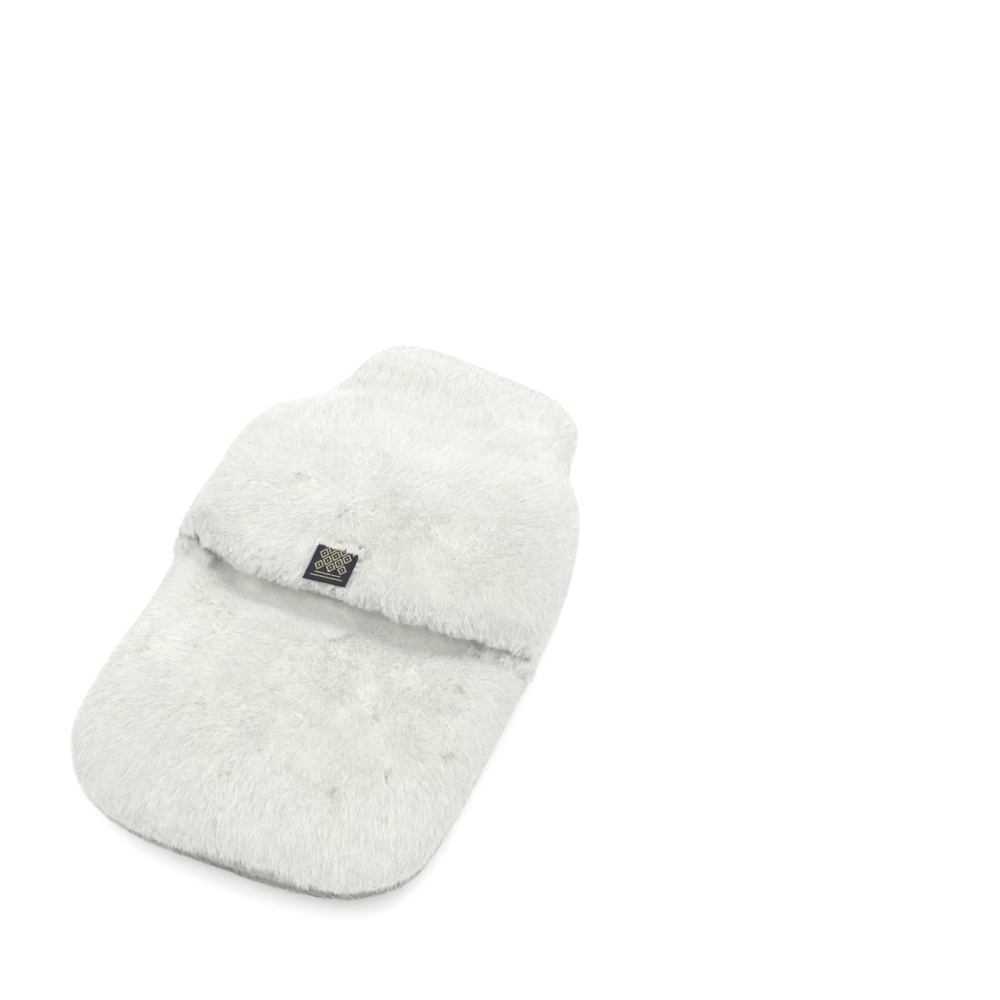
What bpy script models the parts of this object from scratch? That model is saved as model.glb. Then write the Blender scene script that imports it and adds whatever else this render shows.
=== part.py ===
"""Hot water bottle cover: a plump pouch of thick, short-pile sheepskin that lies on its back.

Three panels are sewn together round one side seam. The back panel is a dish with a flat underside.
The lower front panel and the front flap, which carries the shoulders and the wide low neck, are
domes that stand on it. The flap's lower edge, the lip, hangs over the top of the lower front panel,
and the bottle goes in between them. A small woven label lies on the flap at the lip. Each panel is
as thick as its skin and pile, so its outer face lies at the tips of the pile.

+X is the cover's right as one looks at its front, +Y runs up to the neck and +Z up from the
surface it lies on. Sizes are in millimetres until the meshes are made.
"""
import math

import bmesh
import bpy
import numpy as np
from mathutils import Vector, noise
from mathutils.bvhtree import BVHTree

METRES = 0.001

# Outline of the cover seen from the front, from the middle of the lower end to the neck's top.
# Columns: distance out from the middle line, height up the cover.
RIGHT_SIDE = ((0, 1), (45, 4), (86, 14), (114, 38), (123, 82), (125, 137), (126, 197), (125, 247),
              (117, 292), (106, 322), (89, 346), (86, 365), (80, 384), (61, 397), (34, 402), (0, 405))
LEFT_SIDE = ((0, 1), (45, 0), (86, 9), (112, 36), (119, 82), (117, 137), (120, 177), (127, 203),
             (127, 247), (126, 287), (117, 313), (91, 343), (83, 362), (76, 385), (61, 401), (34, 407),
             (0, 405))
LOWER_CORNER = (101, 25)     # where a grid of points turns the round lower corner
NECK_CORNER = (72, 393)      # and the neck's upper corner

# Heights of the pile's tips over the middle line. Columns: height up the cover, height above the floor.
FLAP_CROWN = ((170, 60), (190, 63), (215, 67), (250, 70), (290, 67), (318, 59), (342, 51), (360, 50),
              (382, 51), (410, 49))
LOWER_CROWN = ((0, 48), (30, 54), (67, 60), (110, 60), (145, 56), (170, 52), (240, 50))
CROWN_FALL = 0.07            # how much lower the crown is at the sides

# The flap's lower edge between the sides. Columns: distance across, height up the cover.
LIP_MIDDLE = ((-106, 187), (-91, 183), (-75, 178), (-60, 176), (-36, 177), (-12, 179), (20, 180),
              (53, 182), (80, 185), (100, 188), (116, 191))
LIP_ENDS = (195, 195)        # its height up the left and right sides
TUCK_LENGTH = 50             # how far the lower front panel runs on under the flap

SEAM_HEIGHT = 22             # side seam above the floor
SEAM_GAP = 0.3
FRONT_WALL = 13              # skin and pile of the front panels
TUCKED_WALL = 9              # pile pressed flat under the flap
BACK_WALL = 11               # pile pressed flat against the floor
RIM_ROUND = 30               # how far in from the edge the front rounds over
FOOT_ROUND = 26              # and the back
BACK_INSET = 2               # the front's pile overhangs the back's

# Profiles of a panel's edge beside the seam. Columns: distance in from the edge, distance from the seam.
FRONT_EDGE = ((0.0, 7.0), (1.0, 3.0), (3.5, 0.0))
BACK_EDGE = ((0.0, 6.0), (0.8, 3.0), (3.0, 0.0))

# The mouth, between the flap and the lower front panel.
MOUTH_GAP = 7.5
SIDE_GAP = 1.2
MOUTH_SIDE = (15, 55)        # the gap opens between these distances from the edge
# The slope that leads under the lip, at the sides and in the middle: where it ends below the lip
# and how long it is.
SLOPE_END = (0.4, 2.4)
SLOPE_LENGTH = (2, 22)
SLOPE_SIDE = (4, 60)         # it goes from the one to the other between these distances from the edge

LIP_ROUND = 5.5              # the lip's edge is half round
LIP_SIDE_RISE = 0.8          # and keeps this far above the lower front panel at the sides
TUFT_LENGTH = 2.2            # and its pile hangs in tufts
# Waves that the tufts follow. Columns: width of a tuft, turn in radians, share.
TUFT_WAVES = ((17, 0, 1.0), (19.5, 1, 0.5))
LIP_EASE = 0.3               # the share of the flap's length over which its rows take up the lip's shape
LIP_ROW = 0.03               # its first row above the lip, as a share of that length
LIP_TURNS = (60, 120)        # degrees round a free edge at which it has points
LIP_FADE = (0, 8)            # it is full between these distances from the cover's edge

# Hollows in the flap's pile. Columns: distance across, height up the cover, radius, depth.
DIMPLES = ((-24, 233, 15, 3.0), (-72, 243, 26, 1.6), (40, 262, 30, 1.2))
# Soft crease between the flap's bulge and the neck. Columns: distance across, height up the cover.
NECK_CREASE = ((-76, 347), (-60, 353), (-41, 356), (-19, 358), (1, 356), (14, 353), (27, 347), (38, 340),
               (52, 331))
CREASE_DEPTH = 4.5
CREASE_WIDTH = 11
CREASE_FADE = (2, 22)        # it is full between these distances from the cover's edge
LUMP_HEIGHT = 1.3            # uneven pile
LUMP_LENGTH = 34
LUMP_FADE = (4, 20)
FLAP_LUMPS, LOWER_LUMPS = 1.7, 5.2     # where in the noise each panel's lumps are read

LABEL_WIDTH = 28
LABEL_LENGTH = 29
LABEL_THICKNESS = 1.1
LABEL_PLACE = (-10.5, 183.3)   # middle of its lower edge: across, up
LABEL_TILT = math.radians(2.5)
LABEL_BED = 0.7              # the pile under it is pressed down by this much
LABEL_BED_FADE = (1, 9)      # between these distances from the label it comes up again
LABEL_EDGE = 2.4             # and the lip's edge turns down this much later
LABEL_STEPS = (7, 7)
RAY_START = 200              # above the whole cover

# Distances from the edge at which a grid has its lines, to carry the round rim.
RIM_LINES = (2.5, 7, 13, 20, 30)
SLOPE_LINES = (30, 22, 15, 9, 5, 2.6, 0.4)   # the same below the lip, on the slope that leads under it
WIDTH = 252
LENGTH = 406
# How many even spans each panel's grid has between its rims. Columns: across, along.
BACK_SPANS, FLAP_SPANS, LOWER_SPANS = (7, 12), (17, 11), (9, 5)
TUCK_ROWS = 5


def smooth_line(points, closed=False, steps=14):
    """A smooth curve through the points, each span as a cubic with the chord as its parameter."""
    knots = np.array(points, float)
    if closed:
        knots = np.vstack([knots[-1:], knots, knots[:2]])
    chords = np.linalg.norm(np.diff(knots, axis=0), axis=1)
    slopes = np.diff(knots, axis=0) / chords[:, None]
    before, after = chords[:-1, None], chords[1:, None]
    tangents = (slopes[:-1] * after + slopes[1:] * before) / (before + after)
    if closed:
        knots, chords = knots[1:-1], chords[1:-1]
    else:
        tangents = np.vstack([slopes[:1], tangents, slopes[-1:]])
    t = (np.arange(steps) / steps)[:, None]
    spans = [(2 * t**3 - 3 * t**2 + 1) * knots[i] + (t**3 - 2 * t**2 + t) * chord * tangents[i]
             + (3 * t**2 - 2 * t**3) * knots[i + 1] + (t**3 - t**2) * chord * tangents[i + 1]
             for i, chord in enumerate(chords)]
    line = np.vstack(spans)
    return line if closed else np.vstack([line, knots[-1:]])


def smooth_step(value, low, high):
    t = np.clip((value - low) / (high - low), 0, 1)
    return t * t * (3 - 2 * t)


def read_table(table, where):
    """The smooth curve through a table's two columns, read at the places given."""
    line = smooth_line(table)
    return np.interp(where, line[:, 0], line[:, 1])


def closed_outline():
    """The whole outline, anticlockwise from the middle of the lower end."""
    left = [(-across, up) for across, up in LEFT_SIDE[-2:0:-1]]
    return smooth_line(list(RIGHT_SIDE) + left, closed=True)


OUTLINE = closed_outline()
CENTRE = (OUTLINE.min(axis=0) + OUTLINE.max(axis=0)) / 2


def inward_normals(line):
    along = np.roll(line, -1, axis=0) - np.roll(line, 1, axis=0)
    inward = np.column_stack([-along[:, 1], along[:, 0]])
    return inward / np.linalg.norm(inward, axis=1)[:, None]


OUTLINE_INWARD = inward_normals(OUTLINE)


def edge_distance(plan):
    """For points of any shape (..., 2): the distance to the outline, and the way in from it."""
    flat = plan.reshape(-1, 1, 2)
    start, step = OUTLINE, np.roll(OUTLINE, -1, axis=0) - OUTLINE
    share = np.clip(((flat - start) * step).sum(-1) / (step**2).sum(-1), 0, 1)
    gap = np.linalg.norm(flat - start - share[..., None] * step, axis=-1)
    nearest = gap.argmin(axis=1)
    rows = np.arange(len(nearest))
    part = share[rows, nearest][:, None]
    inward = OUTLINE_INWARD[nearest] * (1 - part) + np.roll(OUTLINE_INWARD, -1, axis=0)[nearest] * part
    inward /= np.linalg.norm(inward, axis=1)[:, None]
    return gap[rows, nearest].reshape(plan.shape[:-1]), inward.reshape(plan.shape)


def line_distance(plan, line):
    """The distance from each point to an open line of points."""
    flat = plan.reshape(-1, 1, 2)
    start, step = line[:-1], np.diff(line, axis=0)
    share = np.clip(((flat - start) * step).sum(-1) / (step**2).sum(-1), 0, 1)
    gap = np.linalg.norm(flat - start - share[..., None] * step, axis=-1)
    return gap.min(axis=1).reshape(plan.shape[:-1])


def outline_place(point):
    """How far round the outline the nearest place to a point is, in points of the outline."""
    step = np.roll(OUTLINE, -1, axis=0) - OUTLINE
    share = np.clip(((point - OUTLINE) * step).sum(-1) / (step**2).sum(-1), 0, 1)
    nearest = np.linalg.norm(point - OUTLINE - share[:, None] * step, axis=1).argmin()
    return float(nearest + share[nearest])


def side_point(side, up):
    """The outline's point at a height up the cover, on the left (-1) or right (1) side."""
    line = smooth_line(RIGHT_SIDE if side > 0 else LEFT_SIDE)
    return side * float(np.interp(up, line[:, 1], line[:, 0])), up


def outline_run(start, end, shares):
    """Points at the given shares of the way round the outline from one place to another."""
    count = len(OUTLINE)
    if end < start:
        end += count
    dense = np.linspace(start, end, 200)
    whole = np.vstack([OUTLINE, OUTLINE, OUTLINE[:1]])
    run = np.column_stack([np.interp(dense, np.arange(len(whole)), whole[:, i]) for i in (0, 1)])
    return even_points(run, shares)


def even_points(line, shares):
    """Points at the given shares of a line's length."""
    length = np.concatenate([[0], np.cumsum(np.linalg.norm(np.diff(line, axis=0), axis=1))])
    return np.column_stack([np.interp(np.array(shares) * length[-1], length, line[:, i]) for i in (0, 1)])


def patch(bottom, top, left, right, across, along):
    """A grid of plan points that fills the four border lines, as rows up the cover."""
    u, v = np.array(across)[None, :, None], np.array(along)[:, None, None]
    corners = ((1 - u) * (1 - v) * bottom[0] + u * (1 - v) * bottom[-1]
               + (1 - u) * v * top[0] + u * v * top[-1])
    return ((1 - v) * bottom[None] + v * top[None]
            + (1 - u) * left[:, None] + u * right[:, None] - corners)


def rim_shares(size, spans, start=True):
    """Shares of a size with lines close together by the rims and even spans between."""
    rim = np.array((0,) + RIM_LINES) / size
    low = rim if start else np.zeros(1)
    high = 1 - rim[::-1]
    return np.concatenate([low, np.linspace(low[-1], high[0], spans + 1)[1:-1], high])


LIP = (side_point(-1, LIP_ENDS[0]),) + LIP_MIDDLE + (side_point(1, LIP_ENDS[1]),)


def pile_lumps(plan, height, salt):
    """Soft unevenness of the pile, none at the rim."""
    distance, _ = edge_distance(plan)
    lumps = np.array([noise.noise(Vector((x / LUMP_LENGTH, up / LUMP_LENGTH, salt)))
                      for x, up in plan.reshape(-1, 2)]).reshape(plan.shape[:-1])
    return height * 2 * lumps * smooth_step(distance, *LUMP_FADE)


def label_directions():
    """The directions across and up the label."""
    side = np.array([math.cos(LABEL_TILT), math.sin(LABEL_TILT)])
    return side, np.array([-side[1], side[0]])


def label_frame(plan):
    """Across and up from the middle of the label's lower edge, in the label's own directions."""
    away = plan - np.array(LABEL_PLACE)
    side, ahead = label_directions()
    return away @ side, away @ ahead


def label_bed(plan):
    """1 under the label, falling to 0 a little way from it."""
    across, up = label_frame(plan)
    beyond = np.maximum(np.abs(across) - LABEL_WIDTH / 2, np.maximum(-up, up - LABEL_LENGTH))
    return 1 - smooth_step(beyond, *LABEL_BED_FADE)


def dome_height(plan, crown_table):
    """Height of a front panel's outer face, before any crease or lump."""
    distance, _ = edge_distance(plan)
    across, up = plan[..., 0], plan[..., 1]
    crown = read_table(crown_table, up) * (1 - CROWN_FALL * (across / (WIDTH / 2))**2)
    base = SEAM_HEIGHT + FRONT_EDGE[0][1]
    rise = np.sqrt(1 - (1 - np.clip(distance / RIM_ROUND, 0, 1))**2)
    return base + (crown - base) * rise


def flap_height(plan):
    height = dome_height(plan, FLAP_CROWN)
    distance, _ = edge_distance(plan)
    crease = np.exp(-(line_distance(plan, smooth_line(NECK_CREASE)) / CREASE_WIDTH)**2)
    return height - CREASE_DEPTH * crease * smooth_step(distance, *CREASE_FADE)


def dimple_depth(plan):
    """How far the flap's pile is parted or pressed in at its dimples."""
    return sum(depth * np.exp(-(np.hypot(plan[..., 0] - across, plan[..., 1] - up) / radius)**2)
               for across, up, radius, depth in DIMPLES)


def level_out(inward):
    """Level directions out of the cover."""
    return np.concatenate([-inward, np.zeros(inward.shape[:-1] + (1,))], axis=-1)


def height_normals(plan, height_of, step=0.4):
    """Unit normals of a height surface; they point level out of the cover at its very edge."""
    shift_x, shift_y = np.array([step, 0]), np.array([0, step])
    slope_x = (height_of(plan + shift_x) - height_of(plan - shift_x)) / (2 * step)
    slope_y = (height_of(plan + shift_y) - height_of(plan - shift_y)) / (2 * step)
    normal = np.stack([-slope_x, -slope_y, np.ones_like(slope_x)], axis=-1)
    distance, inward = edge_distance(plan)
    normal = np.where((distance < step)[..., None], level_out(inward), normal)
    return normal / np.linalg.norm(normal, axis=-1)[..., None]


def grid_normals(grid):
    """Unit normals of a grid of points, upwards."""
    normal = np.cross(np.gradient(grid, axis=1), np.gradient(grid, axis=0))
    return normal / np.linalg.norm(normal, axis=-1)[..., None]


def raised(plan, height):
    return np.concatenate([plan, np.asarray(height)[..., None]], axis=-1)


def border(grid):
    """The border of a grid as one loop: lower row, right side, upper row back, left side down."""
    return np.concatenate([grid[0], grid[1:, -1], grid[-1, -2::-1], grid[-2:0:-1, 0]])


def border_mask(shape, lower, upper):
    """True along the border where it lies on the side seam; the sides always do."""
    mask = np.zeros(shape, bool)
    mask[:, 0] = mask[:, -1] = True
    mask[0] |= lower
    mask[-1] |= upper
    return border(mask)


def seam_loops(edge, inward, profile, side):
    """Loops from a panel's widest line to the seam. side is 1 above the seam and -1 below it."""
    loops = []
    for inset, off_seam in profile[1:]:
        loop = edge.copy()
        loop[:, :2] += inward * inset
        loop[:, 2] = SEAM_HEIGHT + side * (SEAM_GAP / 2 + off_seam)
        loops.append(loop)
    return loops


def cut_loops(edge, inner, outward, bulge):
    """Loops round a half-round free edge between a panel's two faces."""
    loops = []
    for turn in map(math.radians, LIP_TURNS):
        loop = edge + (inner - edge) * (1 - math.cos(turn)) / 2
        loops.append(loop + outward * (bulge * math.sin(turn))[:, None])
    return loops


def shell(name, outer, inner, loops, material):
    """One closed body from its two faces and the loops that join their borders."""
    rows, columns = outer.shape[:2]
    index = np.arange(rows * columns).reshape(rows, columns)
    corners = [index[:-1, :-1], index[:-1, 1:], index[1:, 1:], index[1:, :-1]]
    quads = np.stack(corners, axis=-1).reshape(-1, 4)
    faces = [tuple(quad) for quad in quads] + [tuple(quad[::-1] + rows * columns) for quad in quads]
    rings = [border(index)]
    points = [outer.reshape(-1, 3), inner.reshape(-1, 3)]
    count = 2 * rows * columns
    for loop in loops:
        rings.append(np.arange(count, count + len(loop)))
        points.append(loop)
        count += len(loop)
    rings.append(border(index) + rows * columns)
    for ring, following in zip(rings, rings[1:]):
        for here, beyond in zip(range(len(ring)), np.roll(np.arange(len(ring)), -1)):
            faces.append((ring[beyond], ring[here], following[here], following[beyond]))
    placed = np.vstack(points) - np.array([CENTRE[0], CENTRE[1], 0])
    return solid(name, placed * METRES, faces, material)


def solid(name, points, faces, material):
    mesh = bpy.data.meshes.new(name)
    mesh.from_pydata([tuple(point) for point in points], [], [tuple(map(int, face)) for face in faces])
    work = bmesh.new()
    work.from_mesh(mesh)
    bmesh.ops.triangulate(work, faces=work.faces, quad_method="SHORT_EDGE")
    bmesh.ops.recalc_face_normals(work, faces=work.faces)
    work.to_mesh(mesh)
    work.free()
    mesh.shade_smooth()
    mesh.materials.append(material)
    piece = bpy.data.objects.new(name, mesh)
    bpy.context.scene.collection.objects.link(piece)
    return piece


def plain_material(name, colour, roughness):
    material = bpy.data.materials.new(name)
    material.use_nodes = True
    shader = material.node_tree.nodes["Principled BSDF"]
    shader.inputs["Base Color"].default_value = (*colour, 1)
    shader.inputs["Roughness"].default_value = roughness
    return material


def corner_places():
    """Places on the outline of the four corners: lower right, neck right, neck left, lower left."""
    (low_x, low_up), (neck_x, neck_up) = LOWER_CORNER, NECK_CORNER
    corners = ((low_x, low_up), (neck_x, neck_up), (-neck_x, neck_up), (-low_x, low_up))
    return [outline_place(corner) for corner in corners]


def back_panel(material):
    """A dish with a flat underside, sewn to both front panels round its rim."""
    low_right, neck_right, neck_left, low_left = corner_places()
    across = rim_shares(WIDTH, BACK_SPANS[0])
    along = rim_shares(LENGTH, BACK_SPANS[1])
    plan = patch(outline_run(low_left, low_right, across), outline_run(neck_right, neck_left, across)[::-1],
                 outline_run(neck_left, low_left, along)[::-1], outline_run(low_right, neck_right, along),
                 across, along)
    distance, inward = edge_distance(plan)
    plan = plan + inward * (BACK_INSET * (1 - smooth_step(distance, 0, FOOT_ROUND)))[..., None]

    def foot_height(places):
        edge_height = SEAM_HEIGHT - SEAM_GAP / 2 - BACK_EDGE[0][1]
        off_edge = np.clip((edge_distance(places)[0] - BACK_INSET) / (FOOT_ROUND - BACK_INSET), 0, 1)
        return edge_height * (1 - np.sqrt(1 - (1 - off_edge)**2))

    outer = raised(plan, foot_height(plan))
    normal = height_normals(plan, foot_height)
    on_rim = np.zeros(plan.shape[:-1], bool)
    on_rim[0] = on_rim[-1] = on_rim[:, 0] = on_rim[:, -1] = True
    normal = np.where(on_rim[..., None], -level_out(inward), normal)
    inner = outer + normal * BACK_WALL
    inner[on_rim, 2] = SEAM_HEIGHT - SEAM_GAP / 2
    loops = seam_loops(border(outer), border(inward), BACK_EDGE, -1)
    return shell("back_panel", outer, inner, loops, material)


def flap_plan():
    """Plan points of the flap, from the lip to the neck's top."""
    _, neck_right, neck_left, _ = corner_places()
    lip_left, lip_right = outline_place(LIP[0]), outline_place(LIP[-1])
    across = rim_shares(WIDTH, FLAP_SPANS[0])
    along = np.concatenate([[0, LIP_ROW], rim_shares(LENGTH - LIP[0][1], FLAP_SPANS[1], start=False)[1:]])
    rows = patch(even_points(smooth_line(LIP), across), outline_run(neck_right, neck_left, across)[::-1],
                 outline_run(neck_left, lip_left, along)[::-1], outline_run(lip_right, neck_right, along),
                 across, along)
    rise = LIP_SIDE_RISE + (LIP_ROUND - LIP_SIDE_RISE) * inside_share(rows) - LABEL_EDGE * label_bed(rows)
    rise *= 1 - smooth_step(along, 0, LIP_EASE)[:, None]
    return rows + np.array([0, 1]) * rise[..., None]


def inside_share(plan):
    """0 at the cover's edge and 1 a little way in."""
    distance, _ = edge_distance(plan)
    return smooth_step(distance, *LIP_FADE)


def front_flap(material):
    """Upper front panel with the shoulders and the neck; its free lower edge is the lip."""
    plan = flap_plan()
    smooth = raised(plan, flap_height(plan))
    normal = height_normals(plan, flap_height)
    bed = label_bed(plan)
    inner = smooth - normal * FRONT_WALL
    outer = smooth.copy()
    lumps = pile_lumps(plan, LUMP_HEIGHT, FLAP_LUMPS)
    outer[..., 2] += lumps * (1 - bed) - LABEL_BED * bed - dimple_depth(plan)
    on_seam = border_mask(plan.shape[:2], lower=False, upper=True)
    _, inward = edge_distance(plan)
    edge, inner_edge = border(outer), border(inner)
    tufts = sum(share * np.sin(2 * math.pi * edge[:, 0] / width + turn) for width, turn, share in TUFT_WAVES)
    tufts /= sum(share for _, _, share in TUFT_WAVES)
    bulge = LIP_ROUND - LABEL_EDGE * border(bed) + TUFT_LENGTH * tufts * (1 - border(bed))
    bulge = bulge * border(inside_share(plan))
    seams = seam_loops(edge, border(inward), FRONT_EDGE, 1)
    cuts = cut_loops(edge, inner_edge, np.array([0, -1, 0]), bulge)
    loops = [np.where(on_seam[:, None], seam, cut) for seam, cut in zip(seams, cuts)]
    lower_inner(inner, on_seam)
    return shell("front_flap", outer, inner, loops, material)


def lower_inner(inner, on_seam):
    """Bring the inner border down to the seam where the panel is sewn."""
    rows, columns = inner.shape[:2]
    index = border(np.arange(rows * columns).reshape(rows, columns))
    flat = inner.reshape(-1, 3)
    flat[index[on_seam], 2] = SEAM_HEIGHT + SEAM_GAP / 2


def lower_plan():
    """Plan points of the lower front panel, from the lower end to its edge under the flap."""
    low_right, _, _, low_left = corner_places()
    lip = smooth_line(LIP)
    lip_left, lip_right = outline_place(LIP[0]), outline_place(LIP[-1])
    across = rim_shares(WIDTH, LOWER_SPANS[0])
    length = LIP[0][1] - LOWER_CORNER[1]
    slope = 1 - np.array(SLOPE_LINES + (0,)) / length
    rims = np.array((0,) + RIM_LINES) / length
    along = np.concatenate([rims, np.linspace(rims[-1], slope[0], LOWER_SPANS[1] + 1)[1:-1], slope])
    below = patch(outline_run(low_left, low_right, across), even_points(lip, across),
                  outline_run(lip_left, low_left, along)[::-1], outline_run(low_right, lip_right, along),
                  across, along)
    ends = [side_point(side, up + TUCK_LENGTH) for side, up in zip((-1, 1), LIP_ENDS)]
    end = smooth_line([ends[0]] + [(x, up + TUCK_LENGTH) for x, up in LIP_MIDDLE] + [ends[1]])
    end_left, end_right = outline_place(ends[0]), outline_place(ends[1])
    beyond = np.linspace(0, 1, TUCK_ROWS)
    above = patch(even_points(lip, across), even_points(end, across),
                  outline_run(end_left, lip_left, beyond)[::-1], outline_run(lip_right, end_right, beyond),
                  across, beyond)
    return np.vstack([below, above[1:]])


def lower_front_panel(material):
    """Lower front panel; it dips under the lip and runs on inside the flap."""
    plan = lower_plan()
    distance, inward = edge_distance(plan)
    off_side = smooth_step(distance, *SLOPE_SIDE)
    slope_end, slope_length = (low + (high - low) * off_side for low, high in (SLOPE_END, SLOPE_LENGTH))
    below_lip = read_table(LIP, plan[..., 0]) - plan[..., 1]
    tucked = 1 - smooth_step((below_lip - slope_end) / slope_length, 0, 1)
    open_face = raised(plan, dome_height(plan, LOWER_CROWN))
    open_face[..., 2] += pile_lumps(plan, LUMP_HEIGHT, LOWER_LUMPS)
    gap = SIDE_GAP + (MOUTH_GAP - SIDE_GAP) * smooth_step(distance, *MOUTH_SIDE)
    under = FRONT_WALL + gap
    flap_face = raised(plan, flap_height(plan)) - height_normals(plan, flap_height) * under[..., None]
    outer = open_face * (1 - tucked[..., None]) + flap_face * tucked[..., None]
    normal = grid_normals(outer)
    on_seam = border_mask(plan.shape[:2], lower=True, upper=False)
    sewn = np.zeros(plan.shape[:-1], bool)
    sewn[0] = sewn[:, 0] = sewn[:, -1] = True
    normal = np.where(sewn[..., None], level_out(inward), normal)
    wall = FRONT_WALL + (TUCKED_WALL - FRONT_WALL) * tucked
    inner = outer - normal * wall[..., None]
    edge, inner_edge = border(outer), border(inner)
    seams = seam_loops(edge, border(inward), FRONT_EDGE, 1)
    bulge = np.full(len(edge), TUCKED_WALL / 2)
    cuts = cut_loops(edge, inner_edge, np.array([0, 1, 0]), bulge)
    loops = [np.where(on_seam[:, None], seam, cut) for seam, cut in zip(seams, cuts)]
    lower_inner(inner, on_seam)
    return shell("lower_front_panel", outer, inner, loops, material)


def woven_label(flap, material):
    """A flat woven strip that lies on the flap's pile at the lip."""
    tree = BVHTree.FromObject(flap, bpy.context.evaluated_depsgraph_get())
    columns, rows = LABEL_STEPS
    across = np.linspace(-LABEL_WIDTH / 2, LABEL_WIDTH / 2, columns)
    up = np.linspace(0, LABEL_LENGTH, rows)
    side, ahead = label_directions()
    plan = np.array(LABEL_PLACE) + across[None, :, None] * side + up[:, None, None] * ahead
    under = np.zeros((rows, columns, 3))
    for row in range(rows):
        for column in range(columns):
            start = np.append(plan[row, column] - CENTRE, RAY_START) * METRES
            hit = tree.ray_cast(Vector(start), Vector((0, 0, -1)))[0]
            under[row, column] = (*plan[row, column], hit.z / METRES + SEAM_GAP)
    face = under + np.array([0, 0, LABEL_THICKNESS])
    return shell("woven_label", face, under, [], material)


def build():
    for stale in list(bpy.data.objects):
        bpy.data.objects.remove(stale, do_unlink=True)
    fleece = plain_material("ivory_sheepskin", (0.90, 0.90, 0.87), 0.95)
    back_fleece = plain_material("ivory_sheepskin_back", (0.80, 0.80, 0.76), 0.95)
    ribbon = plain_material("navy_ribbon", (0.02, 0.03, 0.07), 0.7)
    back_panel(back_fleece)
    lower_front_panel(fleece)
    flap = front_flap(fleece)
    woven_label(flap, ribbon)


build()
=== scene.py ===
"""Looks of the hot water bottle cover: three sheepskin panels under a pile of real strands, and a label.

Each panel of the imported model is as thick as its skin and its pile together. Here a panel is its skin,
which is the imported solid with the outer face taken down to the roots, and a pile of flat tapered
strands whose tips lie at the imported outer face. The strands lie the way the pile is combed, gather in
locks, and part here and there. Lengths are in millimetres, in the row frame, until a mesh is made.
Across and up are along X and Y, and up the cover is towards its neck.
"""

import math

import bpy
import numpy as np
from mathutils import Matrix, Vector
from mathutils.bvhtree import BVHTree


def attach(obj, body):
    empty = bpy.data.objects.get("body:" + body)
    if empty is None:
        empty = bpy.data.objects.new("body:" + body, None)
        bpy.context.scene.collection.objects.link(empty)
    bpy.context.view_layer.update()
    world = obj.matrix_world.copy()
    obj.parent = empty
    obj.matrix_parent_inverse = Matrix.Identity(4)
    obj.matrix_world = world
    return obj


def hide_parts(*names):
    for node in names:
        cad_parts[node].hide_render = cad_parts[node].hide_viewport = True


MM = 0.001
SEED = 11
BODY = "root"
FAR = 1e6  # farther than anything

# Camera, fitted to the outline in the photograph, which is 1000 pixels wide.
AZIMUTH, ELEVATION = math.radians(23.37), math.radians(53.41)
AIM = (47.47, 124.0, 0.0)
DISTANCE = 1300.0
FOCAL_PIXELS, PHOTO_WIDTH = 1898.2, 1000
SENSOR = 36.0
NEAR_CLIP, FAR_CLIP = 0.05, 50  # in metres

# Studio, in metres and watts. Columns: a lamp's name, place and power.
LAMPS = (("key", (-1.5, -0.3, 1.3), 12), ("front", (1.3, -1.2, 0.9), 9), ("fill", (0.5, 1.6, 1.3), 14))
LAMP_AIM, LAMP_SIZE = (0, 0, 0.03), 1.6
SURROUND = 1.16  # strength of the white surround
FLOOR_HALF = 6000.0  # half the floor's side, in millimetres
BOUNCES = 12  # of light inside the pile

# Panels. Outward is away from a line along the cover: its height for fronts and back, and its ends.
FRONT_SPINE, BACK_SPINE, SPINE_END = 10, 60, 60
ROOT_SHARE = 0.24  # of a panel's thickness is loose pile, the rest is skin and close underwool
WALL_MOST, WALL_STEP = 13.0, 0.4  # the most that counts of that thickness, and where its ray starts
WELD = 0.01  # packed points are one when this close
BULGE = 0.75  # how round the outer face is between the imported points
SEAM = 22  # the side seam's height
LIP_BINS, LIP_OVERLAP = 48, 1.2  # steps in which the flap's lower edge is read, and half a reading's width

# Flow of the pile. Columns: middle across and up, spread across and up, pull up the cover, droop at the
# sides, uneven swirl.
FLOWS = {
    "flap": (0, 50, 110, 50, 0, 0.9, 0.3),
    "lower": (0, -60, 130, 110, -0.3, 0.9, 0.35),
    "back": (0, 0, 100, 160, 0, 0.25, 0.6),
}
SWIRLS, SWIRL_SHIFT = ((41, 1.0), (15, 0.6)), 3.7  # length and strength, and the shift between axes
LEAST_COMB, MOST_COMB = 0.6, 1.3
# Hollows that the pile points away from. Columns: across, up, radius, strength.
HOLLOWS = ((-23.5, 29, 17, 2.6), (-72, 41, 24, 0.9))
# The crease below the neck: its places, its ends, its width, and how much deeper and closer pile is there.
CREASE_ACROSS, CREASE_UP = (-57, -36, -18, 2, 18, 36, 44), (137, 138, 140, 144, 141, 132, 128)
CREASE_END, CREASE_WIDTH, CREASE_DEEP, CREASE_MORE = (50, 75), 9.0, 0.6, 1.2

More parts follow.
